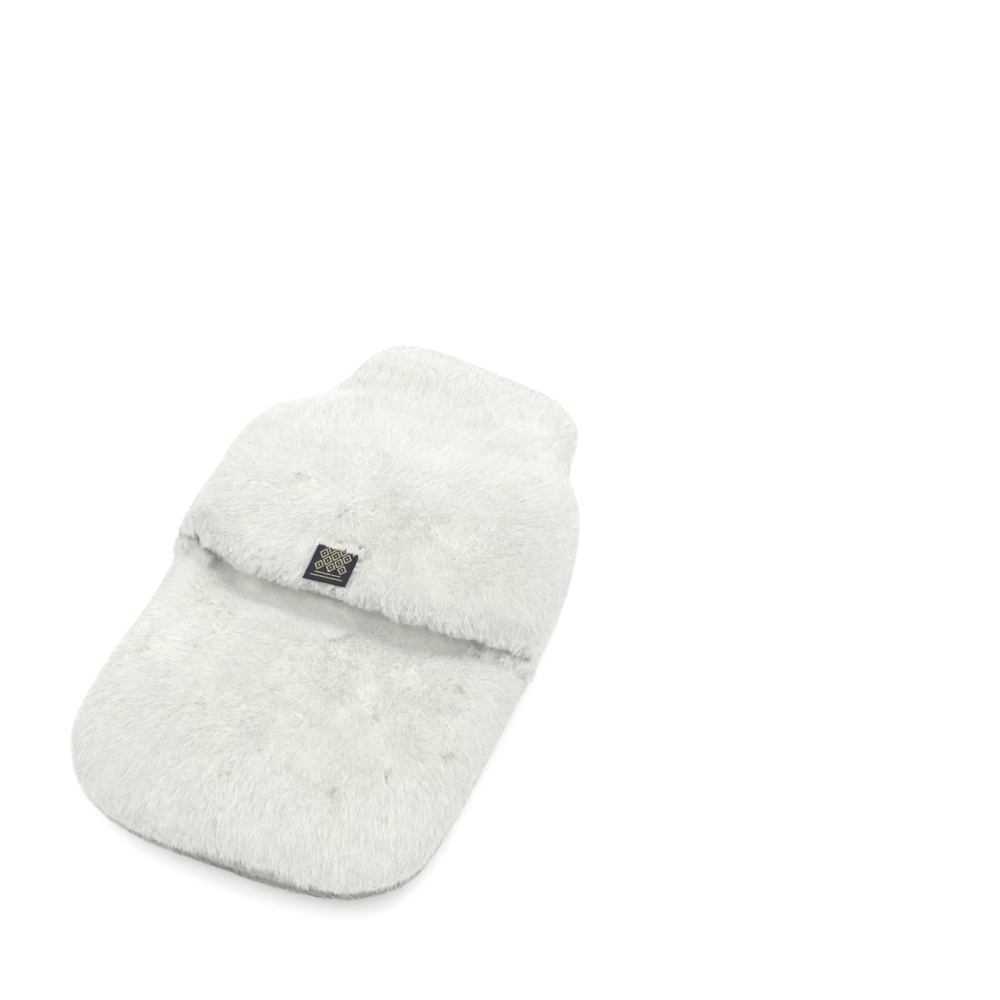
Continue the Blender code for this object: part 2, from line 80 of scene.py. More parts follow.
# Short partings in the pile. Columns: across, up, direction in degrees, length, width. Then the limits of
# small ones, which are scattered.
PARTINGS = (
    (-76, -59, 15, 13, 2.0), (-66, -57, -25, 10, 1.9), (-57, -61, 20, 8, 1.6), (-82, -66, 60, 9, 1.6),
    (27, -88, 30, 10, 1.5), (100, -53, -35, 9, 1.5), (112, -100, 70, 12, 1.6), (29, -117, 10, 8, 1.3),
    (-5, -164, 35, 9, 1.3), (60, -150, 55, 10, 1.4), (86, -128, 80, 9, 1.3), (-40, -128, -10, 9, 1.3),
    (-94, -106, 65, 9, 1.3), (62, -95, -15, 8, 1.3),
)
PARTED = 1.3  # how strong those partings are next to the small ones
FINE_PARTINGS = {"count": 150, "across": (-115, 115), "up": (-190, 120), "turn": (-20, 65),
                 "length": (3, 8), "width": (0.5, 1.2)}
PARTING_WAVE, PARTING_TURNS = 0.8, 1.7  # how a parting bends to and fro
PARTING_ENDS = (0.25, 0.6)  # it ends between these shares of its length, from its middle
PARTING_PUSH, PARTING_SINK = 0.6, 0.8  # how far it pushes tips aside and down, in its widths
PARTED_SHADE = (0.55, 1.5)  # a strand as deep in a parting as a draw from this is dark, with painted shade

# Strands. By a strand's number of points: its faces, and each point's place along and across it.
STRANDS = {
    5: (((0, 1, 3, 2), (2, 3, 4)), (0.0, 0.0, 0.55, 0.55, 1.0), (-0.5, 0.5, -0.45, 0.45, 0.0)),
    3: (((0, 1, 2),), (0.0, 0.0, 1.0), (-0.5, 0.5, 0.0)),
}
STRAND_TAPER = (1.0, 0.9)  # share of its width at the root and at the bend
STRAND_ROLL, FACE_OUT = 0.75, 0.95  # how unevenly it is rolled, and how far it is shaded as the pile
# At the bend, 0.55 along: shares of the root, the tip and a point above the root, this high in the pile.
BEND_ROOT, BEND_TIP, BEND_ABOVE, BEND_HEIGHT = 0.2025, 0.3025, 0.495, 0.85
WIDTHS, LEANS, DROPS = (0.7, 1.3), (0.75, 1.25), (0.2, 1.0)  # shares drawn for each strand
PEAK_LOW, PEAK_HIGH = 0.3, 0.7  # the commonest height of a tip, between a style's low and high
FLOOR_STEPS, FLOOR_RAGGED = (0.0, 0.4, 0.8), 0.5  # of tip, bend and root above a style's floor
# Patches of a pile, which gathers, is high and is toned by them: length and shift of their noise.
GATHER_PATCH, LUMP_PATCH, TONE_PATCH = (23, 1.3), (11, 5.5), (19, 2.2)
GATHER_MEAN, GATHER_CHANGE, GATHERS = 0.65, 0.5, (0.5, 1.1)  # its change by patches, and by strands
# Tone, from 0 in a parting, which is painted shade, to 1: its mean, its change by patches, locks and
# strands, and the least.
TONE, TONE_PATCHY, TONE_LOCK, TONE_STRAND, TONE_LEAST = 0.55, 0.1, 0.05, 0.06, 0.2
TONE_WIDTH, TONE_EDGE = 0.01, 0.02  # a strand's width in the UV map, and the map's margin
# Locks of a pile: the wave, reach and shift of their ragged limits, and how unevenly they rise and reach.
LOCK_WAVE, LOCK_RAGGED, LOCK_SHIFT, LOCK_RISE, LOCK_REACH = 1.6, 0.7, 7.1, 0.08, 0.5

# Separate locks: shares drawn for reach and droop, how much shorter outer strands are, and how deep roots
# lie. Then how much a lock has closed, reached and risen at the bend.
LOCK_REACHES, LOCK_DROOPS, LOCK_OUTER, LOCK_DEEP = (0.8, 1.1), (0.6, 1.1), 0.3, 0.6
LOCK_BEND_CLOSE, LOCK_BEND_REACH, LOCK_BEND_RISE = 0.3, 0.45, 0.5
LOCK_ROUND, LOCK_TONES = 0.3, 0.05  # how round its shading is, and how its tones differ

# Label: middle of its lower edge, its tilt and its sizes.
LABEL_FOOT, LABEL_TILT = (-9.5, -20.05), math.radians(2.5)
LABEL_WIDTH, LABEL_LENGTH, LABEL_THICK, LABEL_STEPS = 28.0, 29.0, 0.9, 40
LABEL_EDGES = ((0.0, 0.3), (0.12, 0.75), (0.4, 1.0))  # from its edge, and its thickness share there
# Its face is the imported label's top, read from above, this far inside its edges, and smoothed so often.
LABEL_ABOVE, LABEL_INSET, LABEL_SMOOTH = 200.0, 0.2, 30
# It is lifted: all of it, and, with how far along, its lower end and, by a power, that end's corners. Its
# upper end sinks in the pile.
LABEL_LIFT, LABEL_KICK, LABEL_CURL, LABEL_CORNER, LABEL_SINK = 0.2, (0.8, 16), (0.2, 12), 4, (1.3, 8)
LABEL_HANG, LABEL_SKEW = 1.6, 2.6  # how much lower its lower edge hangs, and that edge's skew
# How far its lower end presses the pile, and between where that fades: beside it and below it.
LABEL_PRESS, PRESS_BESIDE, PRESS_BELOW = 1.4, (-1, 3), (2, 9)
RIBS = (110, 90)  # of its weave, across it and up it
WAVE_TURN = math.pi / 10  # a wave texture's scale for one rib
# Its motif, of raised stitches: staggered rows of lozenge rings, each with a dot, over plain lines.
STITCH_WIDTH, STITCH_HEIGHT, STITCH_PITCH = 0.5, 0.16, 0.56
STITCH_ALONG, STITCH_BROAD = (-0.5, -0.3, 0.3, 0.5), (0.25, 1.0, 1.0, 0.25)  # places, and width there
STITCH_SIDE, STITCH_RISE = (-0.5, 0.0, 0.5), (-0.4, 1.0, -0.4)  # places, and height there
RING_WIDE, RING_TALL, RING_STROKE, RING_DOT = 3.1, 2.9, 1.0, 0.9
RING_ROWS = ((10.6, (-7.6, 0, 7.6)), (14.6, (-3.8, 3.8)), (18.6, (-7.6, 0, 7.6)), (22.6, (-3.8, 3.8)))
PLAIN_LINES = ((5.9, 8.5), (3.6, 10.5))  # up the label, and half as long as each
LINE_STITCH, LINE_OVERLAP = 1.5, 0.1  # length of a line's stitches, and how far they overlap

# Places for the pile. Fur keeps this clear of the label beside and below it, and covers its upper edge.
CLEAR_BESIDE, CLEAR_BELOW, COVERED = 0.1, 0.8, 3
# Locks at the label: on faces this near, beside and about its upper edge, and right of it from how far up.
LABEL_NEAR, FRINGE_BESIDE, FRINGE_ABOUT, FRINGE_RIGHT, FRINGE_FROM = 36, 1, 3, 2.5, 1
# The ways of locks: over the label's upper and right edges, at the lip's ends, and on the lower panel.
DOWN_OVER_TOP, IN_OVER_RIGHT = (0.0, -1.0), (-0.8, -0.6)
DOWN_AND_IN, UP_AND_LEFT = (0.5, 0.85), (-0.2, 1.0, 0.0)
# The lower rim's band of grey pile, painted shade where the rim lies in shade and the pile is also pressed:
# middle and spread across, height above the seam, and its end up the cover. Its ragged edge's waves:
# height, length and shift.
PRESSED_SHADE_BAND = (28, 56, 10, -100)
BAND_WAVES = ((2.5, 7, 4.1), (1.5, 3, 8.3))
# Where the back's rim is grey, as painted shade where the rim lies in shade and is also pressed: it fades
# in down the cover, out at the right, and in above the floor.
GREY_DOWN, GREY_RIGHT, GREY_HIGH = (100, 150), (95, 125), (1, 7)
LIP_TUFTS, LIP_TUFTS_END = (1, 11), (97, 124)  # how far up the flap they grow, and across it
RIM_TOP, RIM_FUZZ = 40, 2.0  # how high the rim reaches, and how much more fuzz grows there
RIM_TUFTS, SEAM_TUFTS = (3, 18), (1, 12)  # how high above the grey band, and above the seam, they grow
# How far the lower panel's pile, its fuzz and the faces of its rim run on under the flap.
LOWER_PILE_END, LOWER_FUZZ_END, LOWER_RIM_END = 16, 6, 10

# Each cut piece, flat: its width and length in metres, measured over its curve, and its area.
CUTS = (
    dict(node="back_panel", slot="sheepskin_back", flat=(0.26, 0.42), area=0.094, held="laid",
         rests_on=[], piles=("back_pile", "back_fine_pile", "back_pressed_shaded_pile")),
    dict(node="lower_front_panel", slot="sheepskin_front", flat=(0.29, 0.26), area=0.0625,
         held="stretched", rests_on=["back_panel_skin"],
         piles=("lower_pile", "lower_fine_pile", "rim_pressed_shaded_pile", "rim_tufts", "lower_fuzz",
                "lower_seam_tufts", "corner_gap_locks")),
    dict(node="front_flap", slot="sheepskin_front", flat=(0.29, 0.25), area=0.056, held="stretched",
         rests_on=["back_panel_skin", "lower_front_panel_skin"],
         piles=("flap_pile", "flap_fine_pile", "lip_tufts", "flap_fuzz", "flap_seam_tufts", "lip_locks",
                "corner_locks", "label_locks")),
    dict(node="woven_label", slot="woven_ribbon", flat=(0.028, 0.03), area=0.00083, held="laid",
         rests_on=["front_flap_skin"], piles=()),
)

LATTICE = np.random.default_rng(SEED).random((32, 32, 32)) * 2 - 1
rng = np.random.default_rng(SEED)  # every pile draws from it in turn


def smooth_step(value, low, high):
    t = np.clip((value - low) / (high - low), 0, 1)
    return t * t * (3 - 2 * t)


def unit(vectors):
    return vectors / np.maximum(np.linalg.norm(vectors, axis=-1, keepdims=True), 1e-9)


def level_with(vectors, normals):
    """The part of vectors that lies along the surface."""
    return vectors - (vectors * normals).sum(axis=1, keepdims=True) * normals


def noise(points, length, shift=0.0):
    """Smooth noise from -1 to 1 at the points, with bumps of about the given length."""
    place = points / length + shift
    cell = np.floor(place).astype(int)
    t = place - cell
    t = t * t * (3 - 2 * t)
    total = 0.0
    for corner in np.ndindex(2, 2, 2):
        index = (cell + corner) % len(LATTICE)
        weight = np.prod(np.where(corner, t, 1 - t), axis=-1)
        total = total + weight * LATTICE[index[:, 0], index[:, 1], index[:, 2]]
    return total


# ---- meshes

def add_object(name, data):
    obj = bpy.data.objects.new(name, data)
    bpy.context.scene.collection.objects.link(obj)
    return obj


def plain_mesh(name, points, faces, material):
    mesh = bpy.data.meshes.new(name)
    mesh.from_pydata((np.asarray(points) * MM).tolist(), [], [tuple(map(int, f)) for f in faces])
    mesh.shade_smooth()
    mesh.materials.append(material)
    return add_object(name, mesh)


def strand_mesh(name, points, normals, tones, material):
    """An object of many strands, with their tone and the place along the strand in its UV map."""
    count, each = points.shape[:2]
    faces, along, across = STRANDS[each]
    mesh = bpy.data.meshes.new(name)
    corners = np.array([i for face in faces for i in face])
    sizes = [len(face) for face in faces]
    loops = (np.arange(count)[:, None] * each + corners).reshape(-1)
    mesh.vertices.add(count * each)
    mesh.vertices.foreach_set("co", (points.reshape(-1) * MM).astype(np.float32))
    mesh.loops.add(len(loops))
    mesh.loops.foreach_set("vertex_index", loops.astype(np.int32))
    mesh.polygons.add(count * len(faces))
    firsts = np.cumsum([0] + sizes[:-1])
    starts = (np.arange(count)[:, None] * len(corners) + firsts).reshape(-1)
    mesh.polygons.foreach_set("loop_start", starts.astype(np.int32))
    mesh.polygons.foreach_set("loop_total", np.tile(sizes, count).astype(np.int32))
    mesh.update(calc_edges=True)
    mesh.shade_smooth()
    layer = mesh.uv_layers.new(name="OFBake")
    uv = np.empty((count, len(corners), 2))
    uv[..., 0] = np.clip(tones, TONE_EDGE, 1 - TONE_EDGE)[:, None] + TONE_WIDTH * np.array(across)[corners]
    uv[..., 1] = TONE_EDGE + (1 - 2 * TONE_EDGE) * np.array(along)[corners]
    layer.uv.foreach_set("vector", uv.astype(np.float32).reshape(-1))
    mesh.normals_split_custom_set_from_vertices(normals.reshape(-1, 3).tolist())
    mesh.materials.append(material)
    return add_object(name, mesh)


# ---- packed panels

def read_node(name):
    """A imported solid's welded points and its triangles."""
    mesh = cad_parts[name].data
    points = np.empty(len(mesh.vertices) * 3, np.float32)
    mesh.vertices.foreach_get("co", points)
    points = points.reshape(-1, 3) / MM
    mesh.calc_loop_triangles()
    triangles = np.empty(len(mesh.loop_triangles) * 3, np.int32)
    mesh.loop_triangles.foreach_get("vertices", triangles)
    _, first, same = np.unique(np.round(points / WELD).astype(int), axis=0, return_index=True,
                               return_inverse=True)
    return points[first].astype(float), same.reshape(-1)[triangles.reshape(-1, 3)]


def face_normals(points, triangles):
    """Each triangle's normal, as long as twice its area."""
    a, b, c = (points[triangles[:, i]] for i in range(3))
    return np.cross(b - a, c - a)


def point_normals(points, triangles):
    total = np.zeros_like(points)
    normals = face_normals(points, triangles)
    for i in range(3):
        np.add.at(total, triangles[:, i], normals)
    return unit(total)


def tree_of(points, triangles):
    return BVHTree.FromPolygons(points.tolist(), triangles.tolist())


def by_crease(points):
    """How close each point is, from 0 to 1, to the crease below the neck."""
    beyond = points[:, 1] - np.interp(points[:, 0], CREASE_ACROSS, CREASE_UP)
    inside = 1 - smooth_step(np.abs(points[:, 0]), *CREASE_END)
    return inside * np.exp(-(beyond / CREASE_WIDTH) ** 2)


class Panel:
    """A packed panel of a kind in FLOWS: its outer faces, their normals, and how deep the pile is."""

    def __init__(self, node, kind, spine):
        self.node, self.kind = node, kind
        self.points, self.triangles = read_node(node)
        self.tree = tree_of(self.points, self.triangles)
        middles = self.points[self.triangles].mean(axis=1)
        low, high = self.points[:, 1].min(), self.points[:, 1].max()
        line = np.zeros_like(middles)
        line[:, 1] = np.clip(middles[:, 1], low + SPINE_END, high - SPINE_END)
        line[:, 2] = spine
        away = (face_normals(self.points, self.triangles) * (middles - line)).sum(axis=1)
        self.is_outer = away > 0
        self.outer = self.triangles[self.is_outer]
        self.normals = point_normals(self.points, self.outer)
        self.depth = np.zeros(len(self.points))
        for i in np.unique(self.outer):
            self.depth[i] = ROOT_SHARE * self.wall(self.points[i], self.normals[i])
        self.depth *= 1 + CREASE_DEEP * by_crease(self.points)

    def wall(self, point, normal):
        """The panel's thickness behind a point of its outer face."""
        start = Vector(point - normal * WALL_STEP)
        _, _, _, distance = self.tree.ray_cast(start, Vector(-normal))
        return min(WALL_MOST, WALL_MOST if distance is None else distance + WALL_STEP)

    def skin(self):
        """The panel's points with the outer face taken down to the roots, level at the seam."""
        way = -self.normals
        way[np.unique(self.triangles[~self.is_outer]), 2] = 0
        return self.points + way * self.depth[:, None]


def everywhere(points):
    return np.ones(len(points), bool)


def scatter(panel, count, weight, keep):
    """Random places on a panel's outer face: points, normals and the pile's depth there. Weight says how
    close they are on each face, by its middle, and keep picks from the points."""
    outer = panel.outer
    middles = panel.points[outer].mean(axis=1)
    area = np.linalg.norm(face_normals(panel.points, outer), axis=1) / 2 * weight(middles)
    face = rng.choice(len(outer), count, p=area / area.sum())
    a, b = rng.random(count), rng.random(count)
    a, b = np.where(a + b > 1, 1 - a, a), np.where(a + b > 1, 1 - b, b)
    share = np.stack([1 - a - b, a, b], axis=1)[..., None]
    corners, normals = panel.points[outer[face]], panel.normals[outer[face]]
    flat = (share * corners).sum(axis=1)
    lifts = ((flat[:, None] - corners) * normals).sum(axis=2, keepdims=True)
    curved = (share * (flat[:, None] - lifts * normals)).sum(axis=1)
    points = flat + BULGE * (curved - flat)
    depth = (share[..., 0] * panel.depth[outer[face]]).sum(axis=1)
    kept = keep(points)
    return points[kept], unit((share * normals).sum(axis=1))[kept], depth[kept][:, None]


def lip_line(flap):
    """The flap's lower edge: places across, and how far up it is there."""
    points = flap.points
    edges = np.linspace(points[:, 0].min(), points[:, 0].max(), LIP_BINS + 1)
    middles = (edges[1:] + edges[:-1]) / 2
    near = (edges[1] - edges[0]) * LIP_OVERLAP
    lows = [points[np.abs(points[:, 0] - x) < near, 1].min() for x in middles]
    return middles, np.array(lows)


# ---- pile

def hollows(points):
    """The extra push of the pile away from the hollows."""
    push = np.zeros((len(points), 2))
    for across, up, radius, strength in HOLLOWS:
        away = points[:, :2] - (across, up)
        push += away / radius * (strength * np.exp(-((away / radius) ** 2).sum(axis=1)))[:, None]
    return push


def flow(points, normals, kind):
    """The way the pile is combed, along the surface, as long as it is strong."""
    middle_x, middle_y, spread_x, spread_y, pull, droop, swirl = FLOWS[kind]
    way = np.zeros_like(points)
    way[:, 0] = (points[:, 0] - middle_x) / spread_x
    way[:, 1] = (points[:, 1] - middle_y) / spread_y + pull
    if kind == "flap":
        way[:, :2] += hollows(points)
    for length, strength in SWIRLS:
        for axis in range(2):
            way[:, axis] += swirl * strength * noise(points, length, SWIRL_SHIFT * axis + length)
    way[:, 2] = -droop * (1 - normals[:, 2])
    way = level_with(way, normals)
    size = np.linalg.norm(way, axis=1, keepdims=True)
    return way / np.maximum(size, 1e-9) * np.clip(size, LEAST_COMB, MOST_COMB)


def all_partings():
    """The partings above and the small ones, which a seed scatters, each with its strength last."""
    pick = np.random.default_rng(SEED)
    columns = ("across", "up", "turn", "length", "width")
    rows = [[pick.uniform(*FINE_PARTINGS[column]) for column in columns]
            for _ in range(FINE_PARTINGS["count"])]
    return [(*row, PARTED) for row in PARTINGS] + [(*row, 1.0) for row in rows]


def partings(points):
    """How the tips are pushed aside and down along the partings, and how shaded they are there."""
    push, shade = np.zeros_like(points), np.zeros(len(points))
    for across, up, turn, length, width, strength in all_partings():
        away = points[:, :2] - (across, up)
        near = np.flatnonzero((away ** 2).sum(axis=1) < (length + 2 * width) ** 2)
        away = away[near]
        a = math.radians(turn)
        along = away[:, 0] * math.cos(a) + away[:, 1] * math.sin(a)
        side = away[:, 1] * math.cos(a) - away[:, 0] * math.sin(a)
        side = side + PARTING_WAVE * np.sin(along / PARTING_TURNS + across)
        ends = (length * PARTING_ENDS[0], length * PARTING_ENDS[1])
        here = np.exp(-(side / width) ** 2) * (1 - smooth_step(np.abs(along), *ends))
        here = here * strength
        shift = np.sign(side) * here * width * PARTING_PUSH
        push[near, 0] -= shift * math.sin(a)
        push[near, 1] += shift * math.cos(a)
        push[near, 2] -= PARTING_SINK * width * here
        shade[near] = np.maximum(shade[near], here)
    return push, shade


def locks(points, size):
    """For each point its lock's middle and a random number from -1 to 1 that the whole lock shares."""
    ragged = [noise(points, size * LOCK_WAVE, LOCK_SHIFT * i) for i in range(3)]
    cells = np.floor((points + np.stack(ragged, axis=1) * size * LOCK_RAGGED) / size).astype(int)
    _, lock = np.unique(cells, axis=0, return_inverse=True)
    lock = lock.reshape(-1)
    amount = np.bincount(lock)[:, None]
    middle = np.stack([np.bincount(lock, points[:, i]) for i in range(3)], axis=1) / amount
    return middle[lock], rng.uniform(-1, 1, len(amount))[lock]


def blades(rows, outward, widths):
    """Points and normals of flat tapered strands along rows of places, their flat sides outward."""
    along = unit(rows[-1] - rows[0])
    side = unit(np.cross(along, outward))
    turn = rng.normal(0, STRAND_ROLL, len(along))[:, None]
    flat = np.cross(side, along)
    side = side * np.cos(turn) + flat * np.sin(turn)
    side = np.where((np.cross(side, along) * outward).sum(axis=1, keepdims=True) < 0, -side, side)
    normals = unit(FACE_OUT * outward + (1 - FACE_OUT) * np.cross(side, along))
    half = side * widths[:, None] / 2
    points = []
    for row, share in zip(rows[:-1], STRAND_TAPER):
        points += [row - half * share, row + half * share]
    points = np.stack(points + [rows[-1]], axis=1)
    return points, np.repeat(normals[:, None], points.shape[1], axis=1)


class Style:
    """How a pile's strands are, in millimetres and in shares from 0 to 1."""
    lean, width = 4.2, 0.31  # how far back its root lies, and how wide a strand is
    low, high = 0.5, 0.45  # how far a tip may be below and above the outer face
    lock, gather, lump = 4.2, 0.08, 0.3  # how wide a lock is, how closely it gathers, how lumpy the pile is
    curl, swing = 0.1, 0.18  # how unevenly strands curl and swing
    reach, drop, level = 0.0, 0.0, 0.0  # how far tips reach out and drop, and how level their way is
    bent, floor = True, None  # whether a strand has a bend, and how near the floor it may come

    def __init__(self, **changes):
        vars(self).update(changes)


def grow(name, panel, count, style, material, weight, keep, clear=everywhere):
    """A pile of strands whose tips lie at a panel's outer face. Weight and keep say where it grows, and
    clear takes out strands by their tips and middles."""
    points, normals, depth = scatter(panel, count, weight, keep)
    n = len(points)
    way = flow(points, unit(normals + (0, 0, style.level)), panel.kind)
    middle, lock_height = locks(points, style.lock)
    gather = style.gather * (GATHER_MEAN + GATHER_CHANGE * noise(points, *GATHER_PATCH))
    gather = gather * rng.uniform(*GATHERS, n)
    towards = level_with(middle - points, normals)
    commonest = PEAK_HIGH * style.high - PEAK_LOW * style.low
    height = (style.lump * noise(points, *LUMP_PATCH) + LOCK_RISE * lock_height - laid_down(points)
              + rng.triangular(-style.low, commonest, style.high, n))
    way = way + rng.normal(0, style.swing, (n, 3))
    reach = style.reach * (1 + LOCK_REACH * lock_height)
    tips = points + towards * gather[:, None] + normals * height[:, None] + way * reach[:, None]
    tips[:, 2] -= style.drop * rng.uniform(*DROPS, n)
    shade = np.zeros(n)
    if panel.kind != "back":
        push, shade = partings(points)
        tips += push
    lean = style.lean * rng.uniform(*LEANS, n)[:, None]
    roots = points - normals * depth - way * lean
    above = roots + normals * depth * BEND_HEIGHT
    bends = BEND_ROOT * roots + BEND_TIP * tips + BEND_ABOVE * above
    bends += np.cross(unit(way), normals) * rng.normal(0, style.curl, n)[:, None]
    if style.floor is not None:
        for line, step in zip((tips, bends, roots), FLOOR_STEPS):
            least = style.floor + step + rng.uniform(0, FLOOR_RAGGED, n)
            line[:, 2] = np.maximum(line[:, 2], least)
    widths = style.width * rng.uniform(*WIDTHS, n)
    rows = (roots, bends, tips) if style.bent else (roots, tips)
    shape, facing = blades(rows, normals, widths)
    tones = TONE + TONE_PATCHY * noise(points, *TONE_PATCH) + TONE_LOCK * lock_height
    tones = tones + rng.normal(0, TONE_STRAND, n)
    # Strands deep in a parting are given tone 0, the dark parting colour, as painted shade.
    dark = shade > rng.uniform(*PARTED_SHADE, n)
    tones = np.where(dark, 0.0, np.maximum(tones, TONE_LEAST))
    left = clear(tips) & clear((tips + roots) / 2)
    return strand_mesh(name, shape[left], facing[left], tones[left], material)


class Lock:
    """How separate locks are, in millimetres and in shares from 0 to 1."""
    each, radius, length = 30, 3.6, (4.0, 8.0)  # strands in each, and its sizes
    rise, arch, droop = 0.15, 0.3, 0.0  # how steeply it rises, how high it arches, how far its tip droops
    close, swing = 0.8, 0.3  # how closely its tip closes, and how unruly the locks are
    width, tone = 0.3, 0.55  # a strand's width and tone

    def __init__(self, **changes):
        vars(self).update(changes)


def add_locks(name, panel, count, lock, material, weight, keep, way=None):
    """Separate pointed locks on a panel, each of many strands that run to one tip. Way gives the direction
    at points, which otherwise is that of the pile."""
    points, normals, depth = scatter(panel, count, weight, keep)
    along = way(points) if way else flow(points, normals, panel.kind)
    along = unit(along) + rng.normal(0, lock.swing, points.shape)
    along = unit(level_with(along, normals))
    aside = np.cross(normals, along)
    length = rng.uniform(*lock.length, len(points))
    tone = rng.normal(lock.tone, LOCK_TONES, len(points))
    one = np.repeat(np.arange(len(points)), lock.each)
    n = len(one)
    points, normals, depth, along, aside = (rows[one] for rows in (points, normals, depth, along, aside))
    angle = rng.uniform(0, 2 * math.pi, n)
    out = np.sqrt(rng.random(n))
    offset = (along * np.cos(angle)[:, None] + aside * np.sin(angle)[:, None]) * out[:, None]
    reach = (length[one] * (1 - LOCK_OUTER * out) * rng.uniform(*LOCK_REACHES, n))[:, None]
    roots = points + offset * lock.radius - normals * (LOCK_DEEP * depth)
    bends = (points + offset * lock.radius * (1 - LOCK_BEND_CLOSE * lock.close)
             + along * reach * LOCK_BEND_REACH + normals * (lock.rise * reach * LOCK_BEND_RISE + lock.arch))
    tips = points + offset * lock.radius * (1 - lock.close) + along * reach + normals * lock.rise * reach
    tips[:, 2] -= lock.droop * rng.uniform(*LOCK_DROOPS, n)
    widths = lock.width * rng.uniform(*WIDTHS, n)
    shape, facing = blades((roots, bends, tips), unit(normals + LOCK_ROUND * offset), widths)
    return strand_mesh(name, shape, facing, tone[one] + rng.normal(0, LOCK_TONES, n), material)


# ---- materials

def set_inputs(node, **values):
    for name, value in values.items():
        node.inputs[name.replace("_", " ")].default_value = value
    return node


def material_with(name, **values):
    """A new material, what adds a node to it, what links its sockets, and its shader with these values."""
    material = bpy.data.materials.new(name)
    material.use_nodes = True
    nodes = material.node_tree.nodes

    def add(kind, **inputs):
        return set_inputs(nodes.new("ShaderNode" + kind), **inputs)

    return material, add, material.node_tree.links.new, set_inputs(nodes["Principled BSDF"], **values)


def ramp(add, stops):
    """A colour ramp with the given (place, colour) stops."""
    node = add("ValToRGB")
    while len(node.color_ramp.elements) < len(stops):
        node.color_ramp.elements.new(1.0)
    for element, (place, colour) in zip(node.color_ramp.elements, stops):
        element.position = place
        element.color = (*colour, 1.0)
    return node


def pile_material(name, root, middle, tip, warm, parting_shade, lit_through):
    """Wool, coloured from root to tip with painted light and shade: roots darker than the tips are painted
    shade deep in the pile, the ivory's lighter roots are painted light against that shade, and warmer roots
    are painted light passing through the wool. Each strand is a little warmer or not, and dark in a parting
    as painted shade.
    """
    material, add, link, shader = material_with(name, Roughness=0.8, Sheen_Weight=0.3,
                                                Specular_IOR_Level=0.25)
    uv = add("UVMap")
    uv.uv_map = "OFBake"
    split = add("SeparateXYZ")
    link(uv.outputs["UV"], split.inputs[0])
    length = ramp(add, ((0.0, root), (0.5, middle), (0.95, tip)))
    link(split.outputs["Y"], length.inputs["Fac"])
    # The parting colour, at tone 0, is painted shade.
    tone = ramp(add, ((0.1, parting_shade), (0.2, warm), (0.55, (1, 1, 1))))
    link(split.outputs["X"], tone.inputs["Fac"])
    mix = add("Mix", Factor=1.0)
    mix.data_type, mix.blend_type = "RGBA", "MULTIPLY"
    link(length.outputs["Color"], mix.inputs["A"])
    link(tone.outputs["Color"], mix.inputs["B"])
    link(mix.outputs["Result"], shader.inputs["Base Color"])
    rough = add("MapRange", To_Min=0.95, To_Max=0.62)
    link(split.outputs["Y"], rough.inputs["Value"])
    link(rough.outputs["Result"], shader.inputs["Roughness"])
    through = add("BsdfTranslucent")
    link(mix.outputs["Result"], through.inputs["Color"])
    both = add("MixShader", Fac=lit_through)
    link(shader.outputs["BSDF"], both.inputs[1])
    link(through.outputs["BSDF"], both.inputs[2])
    link(both.outputs["Shader"], material.node_tree.nodes["Material Output"].inputs["Surface"])
    return material


def skin_material(name, dark, pale, nap_scale=400.0, nap_height=0.001):
    """The skin's side, or the close underwool on the other: soft stains and a fine nap."""
    material, add, link, shader = material_with(name, Roughness=0.9, Specular_IOR_Level=0.2)
    place = add("TexCoord")
    stain = add("TexNoise", Scale=22.0, Detail=3.0)
    nap = add("TexNoise", Scale=nap_scale, Detail=4.0)
    for texture in (stain, nap):
        link(place.outputs["Object"], texture.inputs["Vector"])
    colour = ramp(add, ((0.3, dark), (0.7, pale)))
    link(stain.outputs["Fac"], colour.inputs["Fac"])
    link(colour.outputs["Color"], shader.inputs["Base Color"])
    bump = add("Bump", Strength=0.5, Distance=nap_height)
    link(nap.outputs["Fac"], bump.inputs["Height"])
    link(bump.outputs["Normal"], shader.inputs["Normal"])
    return material


def ribbon_material():
    """Navy ribbon: a close weave of warp and weft ribs, over the label's UV map."""
    material, add, link, shader = material_with("ribbon_navy", Roughness=0.7, Sheen_Weight=0.05,
                                                Specular_IOR_Level=0.3)
    uv = add("UVMap")
    uv.uv_map = "weave"
    heights = []
    for direction, ribs in zip("XY", RIBS):
        wave = add("TexWave", Scale=ribs * WAVE_TURN, Distortion=0.0)
        wave.bands_direction = direction
        link(uv.outputs["UV"], wave.inputs["Vector"])
        heights.append(wave.outputs["Fac"])
    cross = add("Math")
    cross.operation = "MULTIPLY"
    link(heights[0], cross.inputs[0])
    link(heights[1], cross.inputs[1])
    colour = ramp(add, ((0.0, (0.006, 0.008, 0.016)), (1.0, (0.016, 0.021, 0.040))))
    link(cross.outputs["Value"], colour.inputs["Fac"])
    link(colour.outputs["Color"], shader.inputs["Base Color"])
    bump = add("Bump", Strength=0.6, Distance=0.0001)
    link(cross.outputs["Value"], bump.inputs["Height"])
    link(bump.outputs["Normal"], shader.inputs["Normal"])
    return material


def thread_material():
    """Gold thread, a little paler and darker by turns."""
    material, add, link, shader = material_with("thread_gold", Roughness=0.5)
    place = add("TexCoord")
    twist = add("TexNoise", Scale=700.0)
    link(place.outputs["Object"], twist.inputs["Vector"])
    colour = ramp(add, ((0.35, (0.60, 0.52, 0.30)), (0.65, (0.84, 0.76, 0.50))))
    link(twist.outputs["Fac"], colour.inputs["Fac"])
    link(colour.outputs["Color"], shader.inputs["Base Color"])
    return material


# ---- label

